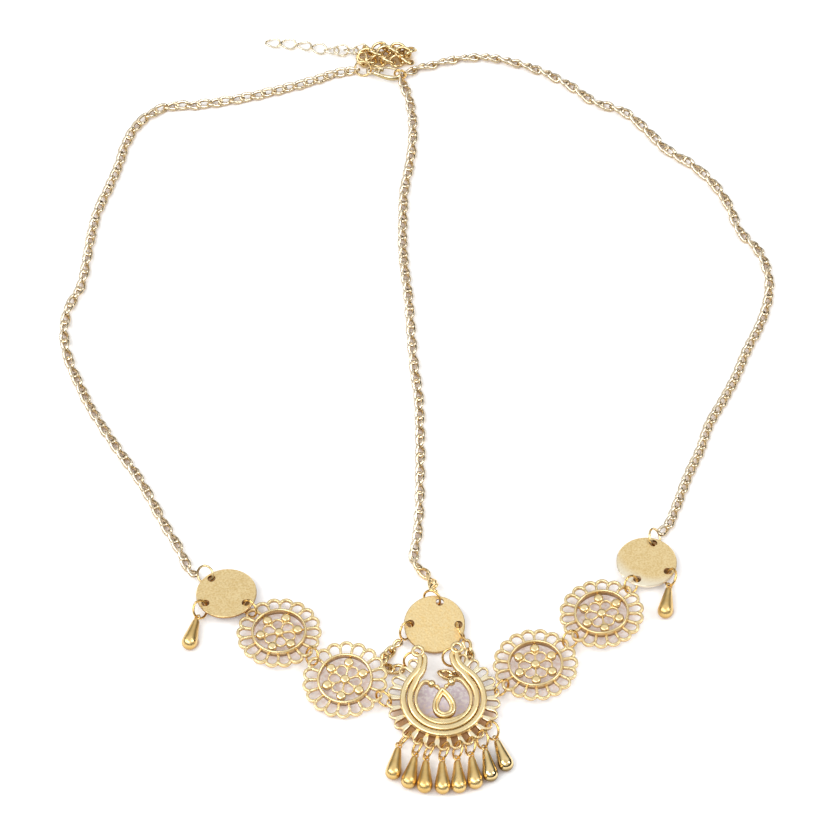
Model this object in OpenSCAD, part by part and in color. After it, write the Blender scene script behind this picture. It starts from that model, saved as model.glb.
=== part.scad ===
// Forehead chain, lying flat: two side chains and a middle chain run back to a clasp, and
// carry a front of three coins, four rosettes and an open pendant with hanging drops.
// The object lies on z = 0. The front points to -Y, the clasp lies at +Y. Millimetres.

/* [Coins] */
// Diameter of a coin
coin_d = 15; // [14.6:0.1:15.2]
// Thickness of a coin
coin_t = 0.8; // [0.5:0.05:0.9]
// Bevel round the rim of a coin
coin_bevel = 0.2; // [0.05:0.05:0.2]
// Diameter of the holes that the jump rings pass
coin_hole_d = 2; // [1.9:0.05:2.2]
// Distance of those holes from the middle of the coin
coin_hole_r = 5.9; // [5.8:0.05:6]

/* [Rosettes] */
// Distance from the middle to the tip of a petal
petal_tip_r = 10.4; // [10.3:0.05:10.5]
// Width of the wire that a petal is bent from
petal_wire = 0.55; // [0.4:0.05:0.6]
// Thickness of the petals and of the pierced middle
petal_t = 0.8; // [0.6:0.05:0.9]
// Number of petals round a rosette
petals = 18; // [18:1:18]
// Outer diameter of the collar inside the petals
collar_d = 13.5; // [13:0.1:13.8]
// Height of the collar
collar_h = 1.6; // [1.2:0.05:1.8]
// Diameter of a knob
knob_d = 2.05; // [1.6:0.05:2.3]

/* [Pendant] */
// Distance from the middle to the outer edge of the fluted border
border_r = 13.9; // [13.8:0.05:14.1]
// Thickness of the border
border_t = 0.6; // [0.5:0.05:0.8]
// Width of a slot in the border
slot_w = 1.5; // [1.4:0.05:1.6]
// Outer radius of the ridged band
band_r = 10.6; // [10.4:0.05:10.7]
// Height of the band above the underside of the border
band_h = 2; // [1.6:0.1:2.4]

/* [Drops] */
// Diameter of a drop's belly
drop_d = 3.8; // [3.4:0.05:3.9]
// Distance from the middle of a drop's eye to the middle of its belly
drop_l = 7.5; // [7.3:0.05:7.6]

/* [Rings] */
// Radius of a jump ring, to the middle of its wire
ring_r = 2.2; // [2.18:0.01:2.22]
// Diameter of a jump ring's wire
ring_wire = 0.6; // [0.5:0.02:0.62]

/* [Chains] */
// Width of the curb chains
chain_w = 3; // [2.6:0.1:3.2]
// Thickness of the curb chains
chain_t = 1.6; // [1.2:0.1:1.6]
// Length of a link of the extension chain
ext_l = 5.1; // [5.08:0.01:5.2]
// Width of a link of the extension chain
ext_w = 4.1; // [3.9:0.1:4.2]
// Diameter of that link's wire
ext_wire = 0.55; // [0.5:0.01:0.6]

/* [Clasp] */
// Thickness of the clasp
clasp_t = 1.5; // [1.4:0.05:1.6]
// Distance from the eye of the clasp to the middle of its nose
clasp_l = 6.3; // [6.2:0.05:6.4]

/* [Hidden] */

$fn = 48;
eps = 0.01;
gold = [0.86, 0.68, 0.36];
pale_gold = [0.88, 0.78, 0.52];

// Turns a point about one axis, as rotate() does
function turn_x(p, a) = [p.x, p.y * cos(a) - p.z * sin(a), p.y * sin(a) + p.z * cos(a)];
function turn_y(p, a) = [p.x * cos(a) + p.z * sin(a), p.y, p.z * cos(a) - p.x * sin(a)];
function turn_z(p, a) = [p.x * cos(a) - p.y * sin(a), p.x * sin(a) + p.y * cos(a), p.z];
function polar(r, a) = [r * cos(a), r * sin(a), 0];

// Flat pieces: middle, lean about X, lean about Y, spin in their own plane
PLACE = 0;
LEAN_X = 1;
LEAN_Y = 2;
SPIN = 3;
coin_l = [[-46.9, -62.9, 2.5], -2, -3, 0];
coin_c = [[4.4, -72.4, 2.8], 14, 0, 0];
coin_r = [[57.0, -53.3, 2.3], 0, 0, 0];
ros_lo = [[-33.7, -74.5, 2.1], -2, -1, -40.4];
ros_li = [[-17.4, -88.5, 2.3], 7, -4, -32.3];
ros_ri = [[29, -84.1, 2.3], 0, -2, 41.5];
ros_ro = [[45.5, -68.9, 2.3], -2, -4, 48.1];
pend = [[6.5, -95, 2.9], 4.5, 0, 5.9];

// A point of a flat piece, given by its radius and angle in the piece's own plane
function on(piece, r, a) =
    let (flat = turn_z(polar(r, a), piece[SPIN]))
    piece[PLACE] + turn_y(turn_x(flat, piece[LEAN_X]), piece[LEAN_Y]);

module lie(piece) {
    translate(piece[PLACE])
        rotate([piece[LEAN_X], piece[LEAN_Y], 0])
            rotate([0, 0, piece[SPIN]])
                children();
}

// Coins

coin_l_holes = [130, 211, 326];
coin_c_holes = [77.4, 179.2, 358];
coin_r_holes = [72, 245, 330];
dish_depth = 0.2;
dish_rim = 6.8;
dish_r = (dish_rim * dish_rim + dish_depth * dish_depth) / (2 * dish_depth);

module coin(piece, holes, dish = 0) {
    r = coin_d / 2;
    h = coin_t / 2;
    color(gold)
        lie(piece)
            difference() {
                rotate_extrude()
                    polygon([
                        [0, -h],
                        [r - coin_bevel, -h],
                        [r, coin_bevel - h],
                        [r, h - coin_bevel],
                        [r - coin_bevel, h],
                        [0, h]
                    ]);
                for (a = holes)
                    translate(polar(coin_hole_r, a))
                        cylinder(d = coin_hole_d, h = 3 * coin_t, center = true);
                if (dish > 0)
                    translate([0, 0, h - dish_depth + dish_r])
                        sphere(r = dish_r);
            }
}

// Rosettes

petal_round = 1.525;
petal_mid_r = petal_tip_r - petal_round;
petal_gap_r = petal_round - petal_wire;
petal_foot_r = collar_d / 2 + 0.05;
petal_foot_w = 1.25;
knob_ring_r = 4.6;
knob_turn = -10;
leaf_turn = 20;
collar_wall = 0.6;
knob_z = 0.5;

module petal_opening() {
    translate([petal_mid_r, 0])
        circle(r = petal_gap_r);
    polygon([
        [petal_foot_r, -petal_foot_w / 2],
        [petal_mid_r, -petal_gap_r],
        [petal_mid_r, petal_gap_r],
        [petal_foot_r, petal_foot_w / 2]
    ]);
}

// An oval opening between two spokes, narrow towards the middle
module leaf_opening() {
    leaf_r = 1.5;
    leaf_mid_r = 4.45;
    leaf_tip_r = 1.75;
    leaf_tip_w = 0.5;
    translate([leaf_mid_r, 0])
        circle(r = leaf_r);
    polygon([
        [leaf_tip_r, -leaf_tip_w / 2],
        [leaf_mid_r, -leaf_r],
        [leaf_mid_r, leaf_r],
        [leaf_tip_r, leaf_tip_w / 2]
    ]);
}

module rosette(piece) {
    color(gold)
        lie(piece) {
            translate([0, 0, -petal_t / 2])
                linear_extrude(petal_t)
                    difference() {
                        union() {
                            circle(r = petal_mid_r);
                            for (i = [0 : petals - 1])
                                rotate(i * 360 / petals)
                                    translate([petal_mid_r, 0])
                                        circle(r = petal_round);
                        }
                        for (i = [0 : petals - 1])
                            rotate(i * 360 / petals)
                                petal_opening();
                        for (i = [0 : 5])
                            rotate(leaf_turn + i * 60)
                                leaf_opening();
                    }
            translate([0, 0, -petal_t / 2])
                linear_extrude(collar_h)
                    difference() {
                        circle(d = collar_d);
                        circle(d = collar_d - 2 * collar_wall);
                    }
            translate([0, 0, knob_z])
                sphere(d = knob_d);
            for (i = [0 : 5])
                rotate(knob_turn + i * 60)
                    translate([knob_ring_r, 0, knob_z])
                        sphere(d = knob_d);
        }
}

// Pendant: a fluted border, a ridged band open at the top, lyre arms that end in eyes,
// scrolls with balls and a hollow teardrop in the middle

slot_pitch = 14.4;
slot_turn = 270.8;
slot_first = -11;
slot_last = 10;
slot_end_r = 13.25;
slot_start_r = band_r + 0.1;
band_z = -border_t / 2;
band_in_r = 6.3;
lug_x = 4.8;
lug_y = 13.7;
lug_d = 3.3;
lug_hole_d = 1.7;
arm_w = 2.35;
eye_t = 0.9;

function slot_angle(i) = slot_turn + slot_pitch * (i + 0.5);

module border() {
    scallop_r = 1.65;
    linear_extrude(border_t)
        difference() {
            union() {
                circle(r = border_r - 0.8);
                for (i = [slot_first : slot_last])
                    rotate(slot_angle(i))
                        translate([border_r - scallop_r, 0])
                            circle(r = scallop_r);
            }
            circle(r = band_r - 0.4);
            for (i = [slot_first : slot_last])
                rotate(slot_angle(i)) {
                    translate([slot_start_r, -slot_w / 2])
                        square([slot_end_r - slot_w / 2 - slot_start_r, slot_w]);
                    translate([slot_end_r - slot_w / 2, 0])
                        circle(d = slot_w);
                }
            polygon([[0, 0], [-7.3, 18.6], [7.3, 18.6]]);
        }
}

// One ridge of the band: a ring with a bevelled top, cut open between the arms
module ridge(r_in, r_out, h, open = 30) {
    bevel = 0.35;
    rotate([0, 0, 90 + open])
        rotate_extrude(angle = 360 - 2 * open)
            polygon([
                [r_in, 0],
                [r_out, 0],
                [r_out, h - bevel],
                [r_out - bevel, h],
                [r_in + bevel, h],
                [r_in, h - bevel]
            ]);
}

// One arm: an arc that leaves the band outwards and comes in to the throat, then the eye
module arm() {
    bend_r = 5.6;
    bend_mid = [10.7, 12, 0];
    translate(bend_mid)
        rotate([0, 0, 179])
            rotate_extrude(angle = 56)
                translate([bend_r, 0])
                    square([arm_w, band_h]);
    linear_extrude(band_h)
        polygon([[2.76, 11.9], [3.3, 13.4], [3.7, 12.9], [5.8, 12.7], [5.1, 11.9]]);
    translate([lug_x, lug_y, band_h - eye_t])
        difference() {
            cylinder(d = lug_d, h = eye_t);
            translate([0, 0, -eps])
                cylinder(d = lug_hole_d, h = 2 * eye_t);
        }
}

module scroll() {
    ball_d = 1.9;
    ball_x = 2.4;
    ball_y = 4.5;
    scroll_r = 1.45;
    translate([ball_x + scroll_r, 4.75, 0])
        rotate([0, 0, 20])
            rotate_extrude(angle = 160)
                translate([scroll_r - 0.4, 0])
                    square([0.9, band_h - 0.3]);
    translate([ball_x, ball_y, band_h - ball_d / 2])
        sphere(d = ball_d);
    translate([ball_x, ball_y, 0])
        cylinder(d = 1.3, h = band_h - ball_d / 2);
}

module teardrop() {
    tear_h = band_h - 0.2;
    linear_extrude(tear_h)
        difference() {
            union() {
                translate([0, -2])
                    circle(r = 3.2);
                polygon([[-3.1, -1.2], [-0.5, 3.4], [0.5, 3.4], [3.1, -1.2]]);
            }
            translate([0, -2.2])
                circle(r = 1.4);
            polygon([[-1.38, -2], [-0.15, 1.2], [0.15, 1.2], [1.38, -2]]);
        }
    for (side = [-1, 1])
        translate([side * 1.2, 3.9, 0])
            rotate([0, 0, -side * 32])
                translate([-0.4, -1, 0])
                    cube([0.8, 2, 1.2]);
}

module pendant() {
    color(gold)
        lie(pend)
            translate([0, 0, band_z]) {
                border();
                ridge(8.9, band_r, band_h, 34);
                ridge(7.3, 9.1, band_h - 0.1, 40);
                ridge(band_in_r, 7.5, band_h - 0.35, 44);
                linear_extrude(1.2)
                    difference() {
                        translate([0, -0.6])
                            circle(r = 6.9);
                        translate([0, 1.2])
                            circle(r = 6.2);
                    }
                for (side = [0, 1])
                    mirror([side, 0, 0]) {
                        arm();
                        scroll();
                    }
                teardrop();
            }
}

// Drops: an eye, a neck that widens to a round belly; the belly rests on z = 0

eye_r = 0.75;
eye_wire = 0.4;
neck_x = 0.95;
neck_r = 0.42;
belly_r = drop_d / 2;
taper = asin((belly_r - neck_r) / (drop_l - neck_x));

// Middle of the eye, heading of the drop, tilt of the jump ring that passes the eye
EYE = 0;
HEADING = 1;
TILT = 2;
drop_rows = [
    [[-4.3, -107.5, 2.1], 260, 60],
    [[-0.3, -110.1, 2.1], 258, 60],
    [[2.3, -111.2, 2.1], 267, 60],
    [[6.1, -111.5, 2.1], 271, 60],
    [[9.75, -111.2, 2.1], 273, 60],
    [[13.1, -110.1, 2.1], 277, 60],
    [[16.4, -108.1, 2.1], 280, 60],
    [[19.1, -105.4, 2.1], 288, 60]
];
drop_l_row = [[-53.9, -69.7, 1.9], 257, -54];
drop_r_row = [[62.4, -60.2, 1.9], 261, 58];

module drop(row) {
    slope = asin((row[EYE].z - belly_r) / drop_l);
    color(gold)
        translate(row[EYE])
            rotate([0, slope, row[HEADING]])
                rotate([90 + row[TILT], 0, 0]) {
                    rotate_extrude()
                        translate([eye_r, 0])
                            circle(d = eye_wire, $fn = 24);
                    rotate([0, 90, 0])
                        translate([0, 0, neck_x - 0.3])
                            cylinder(r = neck_r, h = 0.3 + eps);
                    rotate([0, 90, 0])
                        translate([0, 0, neck_x])
                            cylinder(
                                h = drop_l - neck_x - belly_r * sin(taper),
                                r1 = neck_r,
                                r2 = belly_r * cos(taper)
                            );
                    translate([drop_l, 0, 0])
                        sphere(r = belly_r);
                }
}

// Jump rings: each passes two places that are given, and its plane is turned about the
// line between them. Where that line is shorter than the ring, side says on which side
// of it the ring's middle lies.

slit = 7;

module jump_ring(a, b, tilt, side = 1, r = ring_r) {
    run = b - a;
    chord = norm(run);
    heading = atan2(run.y, run.x);
    slope = asin(run.z / chord);
    out = sqrt(max(r * r - chord * chord / 4, 0));
    sideways = turn_z([-sin(tilt) * sin(slope), cos(tilt), sin(tilt) * cos(slope)], heading);
    color(pale_gold)
        translate((a + b) / 2 + side * out * sideways)
            rotate([0, 0, heading])
                rotate([0, -slope, 0])
                    rotate([tilt, 0, 0])
                        rotate([0, 0, side * 90 + slit / 2])
                            rotate_extrude(angle = 360 - slit)
                                translate([r, 0])
                                    circle(d = ring_wire, $fn = 24);
}

// The clasp rests on its rings, a little above the surface
clasp_place = [-12.3, 110, 1.8];
slot_pass = 12.75;
lug_angle = atan2(lug_y, lug_x);
lug_pass = norm([lug_x, lug_y]);

// Name, first place, second place, tilt, side
rings = [
    ["drop_ring_left", on(coin_l, 5.9, 211), drop_l_row[EYE], drop_l_row[TILT], -1],
    ["drop_ring_right", on(coin_r, 6, 330), drop_r_row[EYE], drop_r_row[TILT], 1],
    ["chain_ring_left", on(coin_l, 5.8, 130), [-54.2, -56.6, 1.4], -50, -1],
    ["chain_ring_right", on(coin_r, 5.8, 72), [60.4, -44, 1.4], 52, 1],
    ["chain_ring_middle", [3.8, -64.7, 6.2], on(coin_c, 5.9, 77.4), 60, -1],
    ["coin_rosette_ring_left", on(coin_l, 5.4, 326), on(ros_lo, 8.1, 180), 69, 1],
    ["coin_rosette_ring_right", on(ros_ro, 9.2, 0), on(coin_r, 6, 245), 60, 1],
    ["rosette_ring_left", on(ros_lo, 9, 0), on(ros_li, 8.6, 180), 58, 1],
    ["rosette_ring_right", on(ros_ri, 9.2, 0), on(ros_ro, 9, 180), 62, 1],
    ["pendant_ring_left", on(ros_li, 9, 0), on(pend, slot_pass, slot_angle(-7)), 78, 1],
    ["pendant_ring_right", on(pend, slot_pass, slot_angle(6)), on(ros_ri, 9, 180), 78, 1],
    ["centre_ring_left", on(coin_c, 5.65, 179.2), [-3.6, -75.9, 1.9], -66, -1],
    ["centre_ring_right", on(coin_c, 6, 358), [11.6, -76.6, 2.3], 110, 1],
    ["lug_ring_left", on(pend, lug_pass, 180 - lug_angle), [-3.1, -83.4, 2.6], -48, 1],
    ["lug_ring_right", on(pend, lug_pass, lug_angle), [6.7, -83, 1.9], -44, 1],
    ["clasp_ring", clasp_place, [-16.6, 110.3, 2.3], -72, -1]
];

module drop_ring(i) {
    row = drop_rows[i - 1];
    jump_ring(on(pend, slot_pass - 0.35, slot_angle(i - 5)), row[EYE], row[TILT]);
}

// Chains: a flattened tube of eight sides swept along a route that was chosen by hand

function direction(path, i) =
    let (
        ahead = path[min(i + 1, len(path) - 1)],
        behind = path[max(i - 1, 0)]
    )
    (ahead - behind) / norm(ahead - behind);

function section(w, t) = [
    for (k = [0 : 7])
        let (a = 22.5 + 45 * k)
        [w / 2 * cos(a) / cos(22.5), t / 2 * sin(a) / cos(22.5)]
];

function ring_at(path, i, outline) =
    let (
        ahead = direction(path, i),
        across = cross([0, 0, 1], ahead) / norm(cross([0, 0, 1], ahead)),
        up = cross(ahead, across)
    )
    [for (p = outline) path[i] + across * p.x + up * p.y];

module chain_tube(path, w = chain_w, t = chain_t) {
    outline = section(w, t);
    sides = len(outline);
    last = len(path) - 1;
    points = [for (i = [0 : last]) each ring_at(path, i, outline)];
    walls = [
        for (i = [0 : last - 1])
            for (k = [0 : sides - 1])
                let (n = (k + 1) % sides)
                [i * sides + k, (i + 1) * sides + k, (i + 1) * sides + n, i * sides + n]
    ];
    start = [for (k = [0 : sides - 1]) k];
    end = [for (k = [sides - 1 : -1 : 0]) last * sides + k];
    color(pale_gold)
        polyhedron(points = points, faces = concat([start], walls, [end]), convexity = 8);
}

// Routes in x, y; the chains lie on the surface unless a point says how high it is
chain_z = chain_t / 2;
function lay(route) = [for (p = route) [p.x, p.y, len(p) > 2 ? p.z : chain_z]];

route_left = [
    [-54.9, -56.1, 1], [-56.4, -54.6], [-59.2, -47.9], [-63.1, -40.4], [-66.6, -32.8], [-70.4, -25.4],
    [-74.8, -18.3], [-79, -11.1], [-83, -3.7], [-86.3, 4], [-89.2, 11.8], [-90.7, 20],
    [-90.1, 28.1], [-87.1, 35.9], [-86, 44.2], [-85.2, 52.5], [-83.9, 60.8], [-81.4, 68.7],
    [-79, 76.7], [-77.2, 84.9], [-73.7, 92.4], [-67.2, 97.5], [-58.9, 98.4], [-50.7, 99.8],
    [-42.6, 101.8], [-34.7, 104.3], [-26.8, 107.2], [-21.5, 109.5], [-17.4, 110.4, 0.9]
];
route_right = [
    [60.9, -43.4, 1.1], [62.9, -41], [65.6, -33.7], [68.4, -25.5], [71.7, -17.5], [74.3, -9.3],
    [78.2, -1.5], [81.8, 6.3], [84.8, 14.4], [88.3, 22.3], [90.9, 30.6], [91.6, 39.1],
    [89.5, 47.5], [84.7, 54.6], [82.3, 62.9], [78.5, 70.6], [73, 77.3], [66.4, 82.7],
    [61.2, 89.6], [55.4, 95.9], [47.6, 99.5], [41.2, 105.3], [34.1, 110.2], [26.2, 113.6],
    [17.8, 115.5], [9.2, 114.4], [2.4, 111.6], [-1.4, 109.3]
];
route_middle = [
    [4.1, -63.9, 5.4], [4.2, -61.2, 3.2], [3.2, -57.2, 1.3], [-0.5, -52], [0.3, -43.6],
    [0.8, -35], [0.9, -26.4], [1, -17.8], [0.9, -9.1], [0.6, -0.5], [-0.4, 8], [-1.1, 16.6],
    [-1.6, 25.2], [-2.2, 33.8], [-3.1, 42.4], [-3.6, 51], [-3.5, 59.6], [-3.2, 68.3],
    [-1.9, 76.8], [-1, 85.4], [-1.1, 94], [-2.2, 101.5], [-3.7, 106.2]
];
route_short_left = [
    [-4.4, -76.9, 1], [-6.2, -79], [-7.8, -81.6], [-6.8, -84.2], [-3.7, -84.6, 1.3]
];
route_short_right = [
    [12.1, -77, 1.2], [12.9, -79.6], [12.5, -82.8], [10.6, -85.4], [7.6, -86.1], [6.2, -85.2]
];

// Clasp: a lobster clasp lying on its side. Its own x runs from the eye to the nose.

clasp_heading = -10;
nose_r = 2;
nose_in_r = 1.15;
tail_r = 1.35;
tail_hole_d = 1.45;
tail_t = 0.8;
tail_end = 1.5;
bay_x = 2.6;
bay_in_r = 0.5;
lever_x = 2.35;
lever_y = 1;
lever_end = 6.55;
lever_t = 0.6;
pin_d = 0.5;
fit_gap = 0.12;

function clasp_point(x, y) = clasp_place + turn_z([x, y, 0], clasp_heading);

module lay_clasp() {
    translate(clasp_place)
        rotate([0, 0, clasp_heading])
            children();
}

module clasp_outline() {
    circle(r = tail_r);
    translate([clasp_l, 0])
        circle(r = nose_r);
    polygon([[0, -tail_r], [clasp_l, -nose_r], [clasp_l, nose_r], [0, tail_r]]);
}

module clasp_bay() {
    translate([clasp_l, 0])
        circle(r = nose_in_r);
    translate([bay_x, 0])
        circle(r = bay_in_r);
    polygon([[bay_x, -bay_in_r], [clasp_l, -nose_in_r], [clasp_l, nose_in_r], [bay_x, bay_in_r]]);
}

module clasp_body() {
    cheek_end = 3.1;
    color(gold)
        lay_clasp() {
            difference() {
                linear_extrude(clasp_t, center = true)
                    difference() {
                        clasp_outline();
                        clasp_bay();
                        circle(d = tail_hole_d);
                        translate([cheek_end, 0.1])
                            square([lever_end + fit_gap - cheek_end, 3]);
                    }
                translate([lever_x - 0.75, 0.1, -lever_t / 2 - fit_gap])
                    cube([2, 3, lever_t + 2 * fit_gap]);
                for (side = [-1, 1])
                    translate([tail_end - 4, -2, side * (tail_t / 2 + 1) - 1])
                        cube([4, 4, 2]);
            }
            translate([lever_x, lever_y, 0])
                cylinder(d = pin_d, h = clasp_t - 0.1, center = true);
        }
}

module clasp_lever() {
    color(pale_gold)
        lay_clasp()
            difference() {
                union() {
                    translate([lever_x, lever_y, 0])
                        cylinder(r = 0.5, h = lever_t, center = true);
                    linear_extrude(lever_t, center = true)
                        polygon([
                            [lever_x, lever_y - 0.4],
                            [lever_end, 1.25],
                            [lever_end, 1.9],
                            [3.3, 1.62],
                            [lever_x, lever_y + 0.5]
                        ]);
                    translate([4.1, 1.85, 0])
                        cylinder(r = 0.45, h = lever_t, center = true);
                }
                translate([lever_x, lever_y, 0])
                    cylinder(d = pin_d + fit_gap, h = 2 * lever_t, center = true);
            }
}

// Extension chain: open oval links. A link reaches from one joint of its route to the
// next, and leans to the left or to the right in turn.

ext_lean = 38;
ext_start = [-4.4, 112.6, 1.6];
ext_turns = [160, 176, 158, 42, -12, 7, 76, 174, 186, 193, 191, 183, 176, 174, 173, 173];
// The last link of a stretch and the first of the next one hang loose in each other
borders = [4, 5, 9, 10];
fused_step = ext_l - 2 * ext_wire + 0.3;
loose_step = ext_l - 2 * ext_wire - 0.1;

function ext_step(i) = len(search(i, borders)) > 0 ? loose_step : fused_step;
function joint(i) = i == 0 ? ext_start : joint(i - 1) + turn_z([ext_step(i - 1), 0, 0], ext_turns[i - 1]);

module oval_link(lean) {
    arc_r = (ext_w - ext_wire) / 2;
    straight = ext_l - ext_w;
    rotate([lean, 0, 0])
        for (end = [-1, 1]) {
            translate([end * straight / 2, 0, 0])
                rotate([0, 0, -end * 90])
                    rotate_extrude(angle = 180)
                        translate([arc_r, 0])
                            circle(d = ext_wire, $fn = 24);
            translate([-straight / 2, end * arc_r, 0])
                rotate([0, 90, 0])
                    cylinder(d = ext_wire, h = straight);
        }
}

module extension(first, last) {
    color(pale_gold)
        for (i = [first : last]) {
            translate((joint(i) + joint(i + 1)) / 2)
                rotate([0, 0, ext_turns[i]])
                    oval_link(i % 2 == 0 ? ext_lean : -ext_lean);
        }
}

// Puts the middle of the whole on the origin in x and y
middle = [0.45, 1.88, 0];
module centred() {
    translate(-middle)
        children();
}

centred() coin(coin_l, coin_l_holes);  // coin_left
centred() coin(coin_c, coin_c_holes);  // coin_centre
centred() coin(coin_r, coin_r_holes, dish_depth);  // coin_right
centred() rosette(ros_lo);  // rosette_left_outer
centred() rosette(ros_li);  // rosette_left_inner
centred() rosette(ros_ri);  // rosette_right_inner
centred() rosette(ros_ro);  // rosette_right_outer
centred() pendant();
centred() drop(drop_l_row);  // drop_left
centred() drop(drop_r_row);  // drop_right
for (i = [1 : 8]) {
    centred() drop(drop_rows[i - 1]);
    centred() drop_ring(i);
}
for (row = rings)
    centred() jump_ring(row[1], row[2], row[3], row[4]);
centred() chain_tube(lay(route_short_left));  // short_chain_left
centred() chain_tube(lay(route_short_right));  // short_chain_right
centred() chain_tube(lay(route_left));  // chain_left
centred() chain_tube(lay(route_right));  // chain_right
centred() chain_tube(lay(route_middle));  // chain_middle
centred() clasp_body();
centred() clasp_lever();
centred() jump_ring(clasp_point(6.5, -0.1), clasp_point(9.48, -0.1), 84, 1, 1.5);  // end_ring
centred() extension(0, 4);  // extension_start
centred() extension(5, 9);  // extension_middle
centred() extension(10, 15);  // extension_end
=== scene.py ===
# %% [markdown]
# # A forehead chain in gold-coloured metal
#
# The real object is folk jewellery: two side chains and a middle chain run from a clasp to a
# front of stamped coins, pierced rosettes and a lyre-shaped pendant with hanging drops. It lies
# flat on a pale surface. The CAD model gives every piece its place. Here the thin, round and
# twisted forms are made again with numpy, and every surface gets a finish made of nodes.
#
# The first step loads the CAD model and bakes each mesh's place into its points.

import bmesh
import bpy
import numpy as np
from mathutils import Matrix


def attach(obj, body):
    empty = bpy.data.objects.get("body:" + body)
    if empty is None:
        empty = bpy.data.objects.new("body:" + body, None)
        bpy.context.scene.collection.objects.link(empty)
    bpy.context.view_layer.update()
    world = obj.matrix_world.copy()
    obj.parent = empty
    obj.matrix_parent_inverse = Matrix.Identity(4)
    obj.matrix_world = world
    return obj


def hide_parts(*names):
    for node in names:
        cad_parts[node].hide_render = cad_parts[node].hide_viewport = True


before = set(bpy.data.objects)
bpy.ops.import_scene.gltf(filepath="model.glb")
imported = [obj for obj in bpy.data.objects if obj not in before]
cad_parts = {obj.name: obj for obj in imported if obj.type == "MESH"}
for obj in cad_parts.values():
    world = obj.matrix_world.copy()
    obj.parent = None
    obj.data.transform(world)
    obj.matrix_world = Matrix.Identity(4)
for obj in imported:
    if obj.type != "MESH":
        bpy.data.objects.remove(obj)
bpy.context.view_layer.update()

# %% [markdown]
# ## The camera
#
# The photograph looks down at 52.5 degrees from in front of the pendant, from more than a metre
# away, so lines that run back hardly converge. A long lens from that distance gives the same
# drawing. The camera is set before the pieces are made.

# %% Camera
MM = 0.001
ELEVATION = np.radians(52.5)
DISTANCE = 1195.5 * MM
aim = np.array([-0.35, -7.98, 0.0]) * MM

camera_data = bpy.data.cameras.new("camera")
camera_data.lens = 202.88
camera_data.sensor_width = 36.0
camera_data.clip_start = 0.05
camera_data.clip_end = 20.0
camera = bpy.data.objects.new("camera", camera_data)
camera.location = aim + DISTANCE * np.array([0.0, -np.cos(ELEVATION), np.sin(ELEVATION)])
camera.rotation_euler = (np.pi / 2 - ELEVATION, 0.0, 0.0)
bpy.context.scene.collection.objects.link(camera)
bpy.context.scene.camera = camera
print("camera at", np.round(camera.location, 3))

# %% [markdown]
# ## Surfaces as grids of points
#
# Wire, ridges and drops are all a small outline carried along a line. Blender's curves could do
# it, but a grid of points worked out as one numpy array is faster, and leaves the outline free.
# `quads` joins the points of a grid, `outward` turns a closed shell so that its faces look out,
# and `join` puts shells together in one mesh.


# %% Grids, shells and meshes
def quads(rows, cols, close_rows=False):
    """Corner numbers of a grid's quads, closed across its columns: point (i, j) is number i * cols + j."""
    i, j = np.meshgrid(np.arange(rows if close_rows else rows - 1), np.arange(cols), indexing="ij")
    i2, j2 = (i + 1) % rows, (j + 1) % cols
    return np.stack([i * cols + j, i2 * cols + j, i2 * cols + j2, i * cols + j2], -1).reshape(-1, 4)


def outward(shell):
    """A closed shell whose faces look out: its signed volume, the sum of a . (b x c), is positive."""
    points, faces = shell
    a, b, c, d = (points[faces[:, k]] for k in range(4))
    volume = (a * (np.cross(b, c) + np.cross(c, d))).sum()
    return (points, faces if volume > 0 else faces[:, ::-1])


def join(*shells):
    """Several shells as one: their points one after another, and face numbers moved on to match."""
    starts = np.cumsum([0] + [len(points) for points, faces in shells[:-1]])
    return (
        np.concatenate([points for points, faces in shells]),
        np.concatenate([faces + start for (points, faces), start in zip(shells, starts)]),
    )


def copies(shell, turns, places):
    """Copy k of a shell is turned by the matrix turns[k] and moved to places[k]."""
    points, faces = shell
    moved = np.einsum("kij,nj->kni", turns, points) + places[:, None]
    numbers = faces[None] + len(points) * np.arange(len(turns))[:, None, None]
    return (moved.reshape(-1, 3), numbers.reshape(-1, 4))


def turn(axis, degrees):
    """Matrices for a turn about x (0), y (1) or z (2), one for each angle given."""
    angle = np.radians(np.atleast_1d(degrees).astype(float))
    matrix = np.zeros((len(angle), 3, 3))
    p, q = (axis + 1) % 3, (axis + 2) % 3
    matrix[:, axis, axis] = 1.0
    matrix[:, p, p] = matrix[:, q, q] = np.cos(angle)
    matrix[:, p, q], matrix[:, q, p] = -np.sin(angle), np.sin(angle)
    return matrix


def unit(v):
    """Each row divided by its own length."""
    return v / np.linalg.norm(v, axis=-1, keepdims=True)


def side_and_rise(ahead):
    """For each direction: the level direction beside it, up x ahead, and what is at right angles to both."""
    side = unit(np.cross([0.0, 0.0, 1.0], ahead))
    return side, np.cross(ahead, side)


print("quads of a 4 x 3 tube:", len(quads(4, 3)))

# %% [markdown]
# ## Lines and outlines
#
# A route is given by a few points and smoothed: between two points it is the cubic that passes
# both in the direction of their neighbours. `even` then walks along it in equal steps, because a
# chain's links all have one length. `oval` is the outline of nearly all cast ridges here, flat
# enough below to lie and round on top.


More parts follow.
